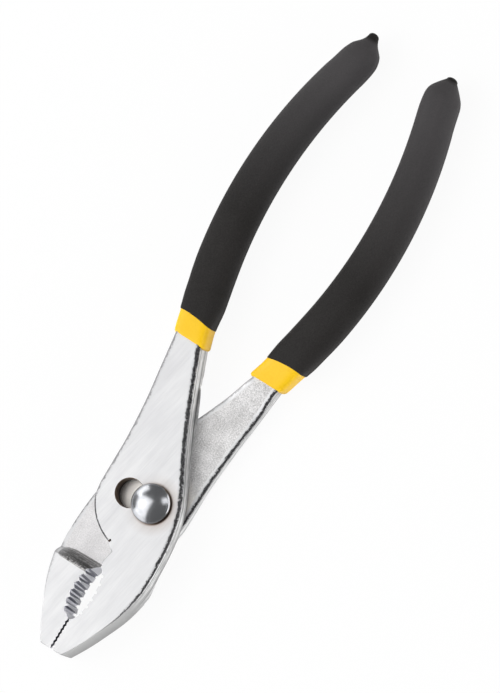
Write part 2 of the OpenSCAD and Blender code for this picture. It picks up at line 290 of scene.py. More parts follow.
def forgedSteel(name):  # as-forged skin: matt and pebbly, cleaner towards the jaws
    mat, tree, shader, coords = startMaterial(name, Metallic=steel["metal"])
    grain = noise(tree, coords, 2600, 5, 0.65)
    patches = noise(tree, coords, 240, 4)
    tone = blendOf(tree, (grain, 0.8), (patches, 0.2))
    skin = mottled(tree, tone, 0.36, 0.62, steel["skin"])
    clean = mottled(tree, tone, 0.36, 0.62, steel["cleanSkin"])
    mostly = mixColour(tree, ranged(tree, axis(tree, coords, "X"), -0.012, 0.012), clean, skin)
    # painted light: paler round the pivot, so that the slot's shaded floor looks lit; it is also less rough
    # there
    pivotPaintedLight = ranged(tree, pivotDistance(tree, coords), 0.013, 0.009)
    matt = ramp(tree, patches, [(0.3, 0.62), (0.7, 0.5)])
    rough = mixColour(tree, pivotPaintedLight, matt, steel["pivotPatchRough"])
    dress(tree, shader, mixColour(tree, pivotPaintedLight, mostly, steel["pivotPaintedLight"]), rough, tone, 0.3, 0.1)
    return mat


def edgeSteel(name):
    # from the face over its rounded edge, dark with scale in a ragged line, to the trimmed wall, with painted
    # highlight and shade on face and wall
    mat, tree, shader, coords = startMaterial(name, Metallic=steel["metal"])
    colour, marks = groundLook(tree, coords)
    fall, strength = attribute(tree, "fall"), attribute(tree, "scale")
    offMiddle = math2(tree, "ABSOLUTE", math2(tree, "SUBTRACT", fall, 3.0))
    down = math2(tree, "SUBTRACT", 1.0, math2(tree, "DIVIDE", offMiddle, 3.0))  # 0 face, 1/3 edge, 2/3 wall
    grain = noise(tree, coords, 3200, 4, 0.6)
    ragged = blendOf(tree, (noise(tree, coords, 2300, 5, 0.75), 0.6), (noise(tree, coords, 620, 3), 0.4))
    level = math2(tree, "MULTIPLY_ADD", math2(tree, "SUBTRACT", ragged, 0.5), 1.1, third=down)
    band = ramp(tree, level, [(0.26, 0.0), (0.33, 1.0), (0.56, 1.0), (0.61, 0.0)])
    scale = math2(tree, "MULTIPLY", strength, band)
    # painted shade: the face darkens over its flat strip by the edge, as if it rolled off
    rollOffShade = math2(tree, "MULTIPLY", strength, ramp(tree, down, [(0.08, 0.0), (0.33, 0.4)]))
    face = mixColour(tree, rollOffShade, colour, steel["rollOffShade"])
    lines = noise(tree, stretched(tree, coords, 0, (25, 25, 1)), 1400, 3)
    specks = noise(tree, stretched(tree, coords, 0, (4, 4, 1)), 1500, 4)
    # trimmed wall: a painted highlight along its top, a dark hairline, then painted shade towards its foot
    trimmedAndShaded = ramp(tree, down, [
        (0.66, 0.82), (0.70, 0.84), (0.725, 0.42), (0.76, 0.76), (0.86, 0.74), (0.93, 0.66), (0.97, 0.42),
        (1.0, 0.22)])
    # the jaw's wall, darker towards its foot: painted shade
    forgedWallShaded = ramp(tree, math2(tree, "DIVIDE", fall, 6.0), [(0.33, 0.48), (0.5, 0.38), (0.67, 0.3)])
    mottle = ramp(tree, blendOf(tree, (lines, 0.6), (specks, 0.4)), [(0.4, 0.4), (0.58, 1.2)])
    streaked = mixColour(tree, 0.75, trimmedAndShaded, mottle, "MULTIPLY")
    # painted shade: the jaw wall darkens where it turns towards the nose
    noseShade = ranged(tree, facingBack(tree), -0.5, -0.85)
    jawWall = mixColour(tree, noseShade, forgedWallShaded, steel["noseShade"])
    wall = mixColour(tree, ranged(tree, axis(tree, coords, "X"), -0.020, -0.030), streaked, jawWall)
    body = mixColour(tree, ramp(tree, down, [(0.62, 0.0), (0.66, 1.0)]), face, wall)
    dark = mottled(tree, grain, 0.42, 0.66, steel["scale"])
    rough = ramp(tree, scale, [(0.0, 0.43), (1.0, 0.75)])
    relief = blendOf(tree, (grain, scale), (marks, 0.3))
    dress(tree, shader, mixColour(tree, scale, body, dark), rough, relief, 0.3, 0.08)
    return mat


def rampSteel(name):  # milled slope with marks that run across the tool; painted shade darkens it across its middle, painted light brightens it along its top, and it is paler towards both ends
    mat, tree, shader, coords = startMaterial(name, Metallic=steel["metal"])
    ragged = noise(tree, coords, 1300, 5, 0.75)
    level = math2(
        tree, "MULTIPLY_ADD", math2(tree, "SUBTRACT", ragged, 0.5), 1.5, third=attribute(tree, "slope"))
    marks = noise(tree, stretched(tree, coords, 90, (16, 1, 1)), 1500, 5, 0.7)
    # painted shade and light across the slope, from its foot to its top
    tone = ramp(tree, level, [
        (0.0, 0.42), (0.15, 0.33), (0.4, 0.25), (0.58, 0.13), (0.74, 0.11), (0.84, 0.34), (0.95, 0.54)])
    streaked = mixColour(tree, 1.0, tone, mottled(tree, marks, 0.4, 0.6, steel["milling"]), "MULTIPLY")
    offCentre = math2(tree, "SUBTRACT", axis(tree, coords, "Y"), tool["centreY"] * mm)
    ends = ranged(tree, math2(tree, "ABSOLUTE", offCentre), 0.0105, 0.0138)
    colour = mixColour(tree, math2(tree, "MULTIPLY", ends, 0.7), streaked, steel["rampEnds"])
    dress(tree, shader, colour, 0.6, marks, 0.3, 0.08)
    return mat


def toothSteel(name, turn):  # broached flanks, bluish, painted lighter where they face the nose and darker where they face the handles, with a painted highlight along the root; turn is -1 on the rear half
    mat, tree, shader, coords = startMaterial(name, Metallic=0.4)
    long, thick = mouth["halfLong"], 2 * tool["lapThick"]
    along = math2(tree, "MULTIPLY_ADD", axis(tree, coords, "X"), 1 / (mm * long), -mouth["middleX"] / long)
    left = math2(tree, "SUBTRACT", 1.0, math2(tree, "MULTIPLY", along, along))
    arch = math2(tree, "SQRT", math2(tree, "MAXIMUM", left, 0.0))
    height = math2(tree, "MULTIPLY_ADD", axis(tree, coords, "Z"),
                   turn / (mm * thick), 0.5 - turn * tool["lapZ"] / thick)
    deep = math2(tree, "MULTIPLY_ADD", height, mouth["outerDeep"] - mouth["innerDeep"], mouth["innerDeep"])
    offCentre = math2(tree, "MULTIPLY_ADD", axis(tree, coords, "Y"), 1 / mm, -tool["centreY"])
    across = math2(tree, "ADD", math2(tree, "ABSOLUTE", offCentre), mouth["jawLevel"])
    under = math2(tree, "SUBTRACT", across, math2(tree, "MULTIPLY", arch, deep))
    # painted highlight: near-white along the groove's root
    root = ramp(tree, math2(tree, "DIVIDE", under, mouth["toothDeep"]), [(0.72, 0.0), (0.85, 1.0)])
    marks = noise(tree, stretched(tree, coords, 0, (1, 1, 16)), 2400, 3)
    noseFlankLit = mottled(tree, marks, 0.3, 0.7, steel["noseFlankLit"])
    pivotFlankShaded = mottled(tree, marks, 0.3, 0.7, steel["pivotFlankShaded"])
    # lit and shaded copies of the flank, picked by the way each flank faces: painted light and shade
    flank = mixColour(tree, ranged(tree, facingBack(tree), -0.15, 0.15), noseFlankLit, pivotFlankShaded)
    dress(tree, shader, mixColour(tree, root, flank, steel["rootHighlight"]), 0.38, marks, 0.2, 0.05)
    return mat


def boreSteel(name):  # punched wall of the slot, brown with old oil
    mat, tree, shader, coords = startMaterial(name, Metallic=0.5)
    marks = noise(tree, stretched(tree, coords, 0, (6, 6, 1)), 2200, 4)
    wall = mottled(tree, marks, 0.3, 0.7, steel["bore"])
    # painted shadow: darker towards the foot of the slot's wall, where it meets the other half
    low = ranged(tree, axis(tree, coords, "Z"), 0.0082, 0.0072)
    dress(tree, shader, mixColour(tree, low, wall, steel["boreFootShadow"]), 0.5, marks, 0.3, 0.1)
    return mat


def brightSteel(name, tint, rough, metal=1.0, headShade=0.0):
    # polished, plated or rubbed steel with faint marks; painted shade sits low, on the bolt head's rim,
    # darker and browner towards its foot
    mat, tree, shader, coords = startMaterial(name, Metallic=metal)
    marks = noise(tree, coords, 900, 3)
    body = mottled(tree, marks, 0.3, 0.7, (tuple(0.94 * c for c in tint), tint))
    # painted shade: darker and browner towards the foot of the head's rim, where the head sits on the face
    low = ranged(tree, axis(tree, coords, "Z"), 0.0129, 0.0125, 0.0, headShade)
    matt = ramp(tree, marks, [(0.3, rough * 1.3), (0.7, rough)])
    dress(tree, shader, mixColour(tree, low, body, steel["rimShade"]), matt, marks, 0.05, 0.03)
    return mat


def vinyl(name, shades, rough, gloss, grainScale, grainStrength, endSheen=0.0, dripX=0.2):
    # dipped plastisol with a fine matt grain, and a painted sheen that makes it a little paler towards the
    # end of the grip, up to its drip
    mat, tree, shader, coords = startMaterial(name, Specular_IOR_Level=gloss)
    grain = noise(tree, coords, grainScale, 3, 0.6)
    sway = noise(tree, coords, 45, 2)
    tone = blendOf(tree, (grain, 0.6), (sway, 0.4))
    x = axis(tree, coords, "X")
    # painted sheen: paler towards the grip's end
    endwards = ranged(tree, x, 0.085, 0.135, 0.0, endSheen)
    withEndSheen = mixColour(tree, endwards, mottled(tree, tone, 0.3, 0.7, shades), (0.5, 0.475, 0.505))
    drip = ranged(tree, x, dripX - 0.0008, dripX + 0.0004)
    matt = ramp(tree, grain, [(0.3, rough), (0.7, rough - 0.1)])
    dress(tree, shader, mixColour(tree, drip, withEndSheen, shades[0]), matt, grain, grainStrength, 0.1)
    return mat


yellowShades = (0.90, 0.53, 0.003), (0.96, 0.595, 0.008)
blackShades = (0.0145, 0.0133, 0.0128), (0.028, 0.0258, 0.025)
finishes = {
    "ground": groundSteel("groundSteel"),
    "edge": edgeSteel("edgeSteel"),
    "forged": forgedSteel("forgedSteel"),
    "ramp": rampSteel("rampSteel"),
    "frontTooth": toothSteel("frontToothSteel", 1),
    "rearTooth": toothSteel("rearToothSteel", -1),
    "bore": boreSteel("boreSteel"),
    "polished": brightSteel("polishedSteel", (0.52, 0.53, 0.555), 0.2, 1.0, 0.9),
    # tooth crests, ground tips made near-white and hardly metallic: a painted highlight
    "crestHighlight": brightSteel("crestHighlightSteel", (0.93, 0.93, 0.96), 0.4, 0.1),
    "plated": brightSteel("platedSteel", (0.55, 0.55, 0.56), 0.28),
    "yellow": vinyl("yellowVinyl", yellowShades, 0.5, 0.3, 1400, 0.06),
    "frontBlack": vinyl("frontBlackVinyl", blackShades, 0.72, 0.15, 2600, 0.3, 0.075, 0.1462),
    "rearBlack": vinyl("rearBlackVinyl", blackShades, 0.72, 0.15, 2600, 0.3, 0.075, 0.1481),
}
print("finishes made:", len(finishes))


# mesh helpers

def makeObject(name, points, faces, finishNames, faceFinish):
    mesh = bpy.data.meshes.new(name)
    mesh.from_pydata(points, [], faces)
    for finishName in finishNames:
        mesh.materials.append(finishes[finishName])
    for polygon, finishName in zip(mesh.polygons, faceFinish):
        polygon.material_index = finishNames.index(finishName)
    mesh.validate()
    made = bpy.data.objects.new(name, mesh)
    bpy.context.scene.collection.objects.link(made)
    return made


def addValues(piece, label, values):
    piece.data.attributes.new(label, "FLOAT", "POINT").data.foreach_set("value", values)


def turnOutwards(piece):
    work = bmesh.new()
    work.from_mesh(piece.data)
    bmesh.ops.remove_doubles(work, verts=work.verts, dist=1e-5)
    bmesh.ops.recalc_face_normals(work, faces=work.faces)
    work.to_mesh(piece.data)
    work.free()


def lofted(name, rings, finishName, capped=True):  # closed skin over rings of equal length
    n = len(rings[0])
    points = [p for ring in rings for p in ring]
    faces = [
        (i * n + j, i * n + (j + 1) % n, (i + 1) * n + (j + 1) % n, (i + 1) * n + j)
        for i in range(len(rings) - 1) for j in range(n)
    ]
    if capped:
        faces += [tuple(range(n)), tuple(range(len(points) - n, len(points)))]
    made = makeObject(name, points, faces, [finishName], [finishName] * len(faces))
    turnOutwards(made)
    return made


def aroundPivot(count, z, reachAt):  # a ring on the pivot's axis, reachAt(angle) from it
    angles = [2 * math.pi * j / count for j in range(count)]
    return [(reachAt(a) * math.cos(a), reachAt(a) * math.sin(a), z) for a in angles]


def applied(piece):  # the evaluated piece as its own plain mesh
    depsgraph = bpy.context.evaluated_depsgraph_get()
    mesh = bpy.data.meshes.new_from_object(piece.evaluated_get(depsgraph))
    piece.modifiers.clear()
    piece.data = mesh


def cutBy(piece, cutters):
    for cutter in cutters:
        cut = piece.modifiers.new("cut", "BOOLEAN")
        cut.operation = "DIFFERENCE"
        cut.solver = "EXACT"
        cut.material_mode = "TRANSFER"
        cut.object = cutter
    applied(piece)
    for cutter in cutters:
        bpy.data.objects.remove(cutter)


def finished(piece, matrix, sharpAngle):  # smooth shading that keeps flat faces flat, then the piece's place
    piece.data.polygons.foreach_set("use_smooth", [True] * len(piece.data.polygons))
    piece.data.set_sharp_from_angle(angle=math.radians(sharpAngle))
    weigh = piece.modifiers.new("weigh", "WEIGHTED_NORMAL")
    weigh.keep_sharp = True
    weigh.weight = 100
    applied(piece)
    piece.data.transform(matrix)
    return piece


# geometry nodes: a row of grooves along a line or an arc, for teeth and serration

def makeGrooveTree():
    tree = bpy.data.node_groups.new("grooveRow", "GeometryNodeTree")
    sockets = {}
    for label, kind in (
        ("Count", "NodeSocketInt"), ("Pitch", "NodeSocketFloat"), ("Start", "NodeSocketFloat"),
        ("Level", "NodeSocketFloat"), ("Bow Depth", "NodeSocketFloat"), ("Bow Middle", "NodeSocketFloat"),
        ("Bow Half Length", "NodeSocketFloat"), ("Groove Share", "NodeSocketFloat"),
        ("Groove Depth", "NodeSocketFloat"), ("Bar Length", "NodeSocketFloat"),
        ("Bar Sides", "NodeSocketInt"), ("Finish", "NodeSocketMaterial"),
    ):
        sockets[label] = tree.interface.new_socket(name=label, in_out="INPUT", socket_type=kind).identifier
    tree.interface.new_socket(name="Geometry", in_out="OUTPUT", socket_type="NodeSocketGeometry")
    given = tree.nodes.new("NodeGroupInput").outputs
    shown = tree.nodes.new("NodeGroupOutput")

    def calc(operation, a, b=0.0):
        return addNode(tree, "ShaderNodeMath", {0: a, 1: b}, operation=operation).outputs[0]

    def vector(x=0.0, y=0.0, z=0.0):
        return addNode(tree, "ShaderNodeCombineXYZ", {"X": x, "Y": y, "Z": z}).outputs[0]

    row = addNode(tree, "GeometryNodeMeshLine", {
        "Count": given["Count"], "Start Location": vector(given["Start"]),
        "Offset": vector(calc("MULTIPLY", given["Pitch"], -1.0))}, mode="OFFSET").outputs[0]
    place = addNode(tree, "GeometryNodeInputPosition").outputs[0]
    x = addNode(tree, "ShaderNodeSeparateXYZ", {0: place}).outputs["X"]
    along = calc("DIVIDE", calc("SUBTRACT", x, given["Bow Middle"]), given["Bow Half Length"])
    arch = calc("SQRT", calc("MAXIMUM", calc("SUBTRACT", 1.0, calc("MULTIPLY", along, along)), 0.0))
    y = calc("SUBTRACT", given["Level"], calc("MULTIPLY", given["Bow Depth"], arch))
    bent = addNode(tree, "GeometryNodeSetPosition", {"Geometry": row, "Offset": vector(0.0, y)}).outputs[0]
    bar = addNode(tree, "GeometryNodeMeshCylinder", {
        "Vertices": given["Bar Sides"], "Radius": 1.0, "Depth": given["Bar Length"]}).outputs[0]
    halfWide = calc("MULTIPLY", calc("MULTIPLY", given["Pitch"], 0.5), given["Groove Share"])
    bars = addNode(tree, "GeometryNodeInstanceOnPoints", {
        "Points": bent, "Instance": bar, "Scale": vector(halfWide, given["Groove Depth"], 1.0)}).outputs[0]
    real = addNode(tree, "GeometryNodeRealizeInstances", {"Geometry": bars}).outputs[0]
    painted = addNode(tree, "GeometryNodeSetMaterial", {
        "Geometry": real, "Material": given["Finish"]}).outputs[0]
    tree.links.new(painted, shown.inputs[0])
    return tree, sockets


grooveTree, grooveSockets = makeGrooveTree()


def grooveBars(name, **values):
    made = bpy.data.objects.new(name, bpy.data.meshes.new(name))
    bpy.context.scene.collection.objects.link(made)
    grow = made.modifiers.new("grooves", "NODES")
    grow.node_group = grooveTree
    for label, value in values.items():
        grow[grooveSockets[label.replace("_", " ")]] = value
    applied(made)
    turnOutwards(made)
    return made


# the two forged halves: x along the tool, v across towards the half's handle, h up to its outer face

half = {
    "noseX": -50.6,
    "noseFlat": 3.1,           # flat end of the nose, from the jaw line
    "noseRound": 0.6,
    "sideKnots": [             # jaw's side, cheek and the handle's inner edge
        (-50.6, -3.7), (-45, -6.9), (-38.6, -10.0), (-31.7, -13.1), (-25, -14.75), (-19, -15.15),
        (-8, -14.5), (0, -13.0), (5.2, -11.05), (15.4, -5.6), (25.8, -0.4), (36.4, 4.3), (46, 8.3)],
    "outerKnots": {            # boss's upper side and the handle's outer edge
        "front": [(-6.9, 12.4), (-2, 13.3), (4, 13.6), (12, 13.7), (24, 14.6), (33.7, 15.9), (46, 17.6)],
        "rear": [(-6.9, 12.4), (-2, 13.3), (4, 13.6), (12, 13.7), (24, 14.6), (33.7, 15.7), (46, 16.9)]},
    "bossRadius": 16.25,
    "bossV": -2.4,
    "bossFrom": 116,
    "bossTo": 163,
    "notch": (-17.7, -0.45),   # bottom of the wire cutter
    "tongue": (-22.0, 0.3),
    "rampFoot": -22.7,
    "rampTop": -26.6,
    "serrationPitch": 1.3,
    "serrationDepth": 0.27,
    "serrationShare": 0.97,
    "serrationCount": 7,
    "serrationSet": {"front": 0.8, "rear": 1.3},
    "relief": [                # nick where the boss meets the cutter: x, v, radius
        (-15.1, 1.6, 0.36), (-15.55, 1.72, 0.38), (-16.0, 1.85, 0.36)],
    "riseX": {"front": 35.7, "rear": 35.9},     # the handle's inner side drops from here
    "riseRun": {"front": 3.4, "rear": 10},
    "drop": {"front": 2.9, "rear": 2.0},
    "coatX": {"front": 46.0, "rear": 47.0},
    "coatSlope": 0.33,         # of the long edges where they go into the coats
    "swellRun": 16,
    "tangEnd": {"front": 138.0, "rear": 139.2},
    "tangWide": 7.6,
    "tangHigh": 7.4,
    "footBow": 0.028,          # the ramp's foot bends towards the nose near the side: bow per mm squared
    "footStraight": 7.3,
    "rampPower": 1.15,
    "rampColumns": 12,
    "lipStart": {"front": -15, "rear": -23.5},  # the side's lower edge comes down to the jaw from here
    "lipEnd": -28,
    "lipPower": 1.3,
    "crotchLip": {"front": 2.0, "rear": 0.0},   # and down to the handle's full height past the crotch
    "crotchRun": (35.0, 37.0),
    "crotchLean": [            # how far the front wall's lower edge stands out by the crotch
        (-24, 0.0), (10, 0.0), (18, 0.35), (26, 0.85), (31, 0.8), (35, 0.5), (37, 0.0), (140, 0.0)],
    "pointStep": {             # between the points of the outline, in mm or in degrees of an arc
        "lap": 0.8, "handle": 0.7, "swell": 1.6, "tang": 4, "boss": 2, "ramp": 4, "mouth": 3, "jaw": 1.0},
    "roundSteps": 6,
    "roundEase": 3,            # times that neighbouring roundings are evened out
    "wallLean": 0.35,
    "edgeSizes": {             # radius, lean, scale at the outer face, the same at the inner, rim of both
        "mouth": (0.12, 0.0, 0.0, 0.1, 0.0, 0.0, 0.12),
        # the boss's high scale values also paint a dark line along its edge: painted shade where it stands
        # over the other half
        "boss": (0.5, 0.0, 0.9, 0.1, 0.0, 0.6, 0.15),
        "cutter": (0.15, 0.0, 0.1, 0.1, 0.0, 0.1, 0.15),
        "nose": (0.22, 0.0, 0.2, 0.22, 0.0, 0.2, 0.2)},
    "sharpRun": (-29, -38),    # the other edges lose their lean and rim towards the nose
    "rim": (0.9, 0.2),
    "sideRound": [
        (-50.6, 0.12), (-38, 0.15), (-27, 0.42), (-18, 0.55), (-8, 0.75), (6, 0.95), (20, 1.0), (140, 1.0)],
    "scaleKnots": [(-50.6, 0.0), (-42, 0.05), (-36, 0.5), (-28, 0.85), (-18, 1.0), (0, 1.0), (140, 1.0)],
    "outerRun": (-7, 4),       # the handle's outer edge gets broader from the boss on
    "outerRound": (0.3, 0.5),
    "outerScale": 0.5,
    "outerUnderRun": (-6, 4),
    "outerUnderRound": (0.1, 0.7),
    "jawUnderRound": 0.1,
    "jawUnderScale": (0.05, 0.4),
    "wallRound": (0.15, 0.5),  # lower edge of the side wall
    "wallRoundRun": {"front": (32, 37), "rear": (22, 32)},
    "wallScale": (0.05, 0.7, 0.3),              # by the jaw, along the lap and on the handle
    "lapScaleRun": (-20, -15),
    "handleScaleRun": {"front": (14, 22), "rear": (22, 32)},
    "cutOver": 1,              # how far the cutters reach past the faces
    "holeEdge": 0.16,          # broken edge of the slot and the nut's seat
    "boreRadius": 3.55,
    "nutSeatRadius": 6.27,
    "nutSeatDeep": 3.1,
    "sharpAngle": 30,
}


def edgeAt(knots, sign, side, x):  # a long edge, running on into the coats
    coat = half["coatX"][side]
    if x <= knots[-1][0]:
        return curveAt(knots, x)
    inside = handleMid(x) + sign * half["tangWide"] / 2
    ahead = knots[-1][1] + (x - knots[-1][0]) * half["coatSlope"]
    return mix(ahead, inside, ease(x, knots[-1][0], coat + half["swellRun"]))


def mouthPoint(degrees):  # on the inner side
    a = math.radians(degrees)
    return (mouth["middleX"] + mouth["halfLong"] * math.cos(a),
            mouth["jawLevel"] - mouth["innerDeep"] * math.sin(a))


def upMouth(h):  # 0 at the inner side, 1 at the outer face
    return (h + tool["lapThick"]) / (2 * tool["lapThick"])


def mouthLean(v, h):  # a point of the inner side's mouth, moved up its leaning wall
    below = min(0.0, v - mouth["jawLevel"])
    return v + below * (mouth["outerDeep"] / mouth["innerDeep"] - 1) * upMouth(h)


def leanTeeth(bars, side):  # grooves that follow the wall and narrow towards the outer face
    start, pitch = mouth["toothStart"][side], mouth["toothPitch"][side]
    seen = upMouth(tool["lapThick"] if side == "front" else -tool["lapThick"])
    for vertex in bars.data.vertices:
        x, v, h = vertex.co
        up = upMouth(h)
        middle = start - round((start - x) / pitch) * pitch
        atRoot = abs(x - middle) < mouth["rootReach"] * pitch * mouth["toothShare"]
        narrow = mouth["rootShare"] if atRoot else mix(1, mouth["toothNarrow"], up)
        vertex.co = (middle + (x - middle) * narrow + mouth["toothLean"] * (up - seen), mouthLean(v, h), h)


def halfOutline(side):
    # returns runs of (x, v, zone), counter-clockwise, as named parts
    coat, rise, end = half["coatX"][side], half["riseX"][side], half["tangEnd"][side]
    step, bossX = half["pointStep"], half["outerKnots"][side][0][0]
    rampEnd = math.degrees(math.acos((half["rampTop"] - mouth["middleX"]) / mouth["halfLong"]))
    handleX = spread(rise, coat, step["handle"])[:-1]
    handleX += spread(coat, coat + half["swellRun"], step["swell"])[:-1]
    handleX += spread(coat + half["swellRun"], end, step["tang"])
    outer = [(x, edgeAt(half["outerKnots"][side], 1, side, x), "outer") for x in handleX]
    inner = [(x, edgeAt(half["sideKnots"], -1, side, x), "side") for x in handleX]
    upperLap = [
        (x, curveAt(half["outerKnots"][side], x), "outer") for x in spread(rise, bossX, step["lap"])[1:]]
    for a in spread(half["bossFrom"], half["bossTo"], step["boss"]):
        upperLap.append((
            half["bossRadius"] * math.cos(math.radians(a)),
            half["bossRadius"] * math.sin(math.radians(a)) + half["bossV"], "boss"))
    upperLap += [(*half["notch"], "cutter"), (*half["tongue"], "cutter"),
                 (half["tongue"][0], mouth["jawLevel"], "mouth")]
    foot, level = half["rampFoot"], mouth["jawLevel"]
    upperRamp = [(foot, level, "mouth"), ((foot + mouth["middleX"] + mouth["halfLong"]) / 2, level, "mouth")]
    upperRamp += [(*mouthPoint(a), "mouth") for a in spread(0, rampEnd, step["ramp"])]
    jaw = [(*mouthPoint(a), "mouth") for a in spread(rampEnd, 180, step["mouth"])[1:]]
    nose = half["noseX"]
    jaw += [(x, level, "mouth") for x in spread(jaw[-1][0], nose, step["jaw"])[1:]]
    flat, start = level - half["noseFlat"], nose + half["noseRound"]
    corner = [(nose, level - half["noseFlat"] * t, "nose") for t in (0.25, 0.5, 0.75)]
    for i in range(7):
        t = i / 6
        bend = ((1 - t) ** 2, 2 * t * (1 - t), t * t)
        corner.append((
            bend[0] * nose + bend[1] * nose + bend[2] * start,
            bend[0] * flat + bend[1] * curveAt(half["sideKnots"], nose + 0.1)
            + bend[2] * curveAt(half["sideKnots"], start), "nose"))
    jaw += corner
    jawX = spread(start, half["rampTop"], step["handle"])[1:-1]
    jaw += [(x, curveAt(half["sideKnots"], x), "side") for x in jawX]
    sideFoot = footAt(curveAt(half["sideKnots"], foot - 1.5))
    lowerX = [mix(sideFoot, half["rampTop"], slopeAt(x, v)) for x, v, zone in reversed(upperRamp)]
    lowerRamp = [(x, curveAt(half["sideKnots"], x), "side") for x in lowerX]
    lapX = spread(sideFoot, rise, step["lap"])[1:-1]
    lowerLap = [(x, curveAt(half["sideKnots"], x), "side") for x in lapX]
    return [
        ("upperHandle", outer[::-1]), ("upperLap", upperLap), ("upperRamp", upperRamp), ("jaw", jaw),
        ("lowerRamp", lowerRamp), ("lowerLap", lowerLap), ("lowerHandle", inner)]


def topLevel(side, x):
    coat = half["coatX"][side]
    return mix(tool["lapThick"], half["tangHigh"] / 2, min(1, max(0, (x - coat) / half["swellRun"])))


def footAt(v):  # where the ramp starts
    return half["rampFoot"] - half["footBow"] * max(0, abs(v) - half["footStraight"]) ** 2


def slopeAt(x, v):  # 0 at the ramp's foot, 1 at its top
    foot = footAt(v)
    return min(1, max(0, (x - foot) / (half["rampTop"] - foot)))


def bottomLevel(side, x, v):
    lap, rise = tool["lapGap"] / 2, half["riseX"][side]
    coat, drop = half["coatX"][side], half["drop"][side]
    if x <= half["rampFoot"]:
        return mix(lap, -tool["lapThick"], math.sin(slopeAt(x, v) * math.pi / 2) ** half["rampPower"])
    if x < rise:
        return lap
    if x < coat:
        return mix(lap, -drop, ease(x, rise, rise + half["riseRun"][side]))
    return mix(-drop, -half["tangHigh"] / 2, min(1, (x - coat) / half["swellRun"]))


def roundings(x, zone, side):  # in the order of edgeSizes
    if zone in half["edgeSizes"]:
        return half["edgeSizes"][zone]
    sharp = ease(x, *half["sharpRun"])
    lean = mix(half["wallLean"], 0.0, sharp)
    along = max(x, half["noseX"])
    outside = (curveAt(half["sideRound"], along), lean, curveAt(half["scaleKnots"], along))
    if zone == "outer":
        broad = ease(x, *half["outerRun"])
        outside = (mix(*half["outerRound"], broad), mix(0.0, half["wallLean"], broad), half["outerScale"])
        inside = (mix(*half["outerUnderRound"], ease(x, *half["outerUnderRun"])), 0.0, 1.0)
    elif x < half["rampFoot"]:
        jaw = ease(x, half["rampFoot"], half["rampTop"])
        start, share = half["jawUnderScale"]
        dark = mix(start, share * outside[2], jaw)
        inside = (mix(half["jawUnderRound"], outside[0], jaw), mix(0.0, lean, jaw), dark)
    else:
        byJaw, onLap, onHandle = half["wallScale"]
        dark = mix(byJaw, onLap, ease(x, *half["lapScaleRun"]))
        dark = mix(dark, onHandle, ease(x, *half["handleScaleRun"][side]))
        standOut = curveAt(half["crotchLean"], x) if side == "front" else 0.0
        inside = (mix(*half["wallRound"], ease(x, *half["wallRoundRun"][side])), -standOut, dark)
    return (*outside, *inside, mix(*half["rim"], sharp))


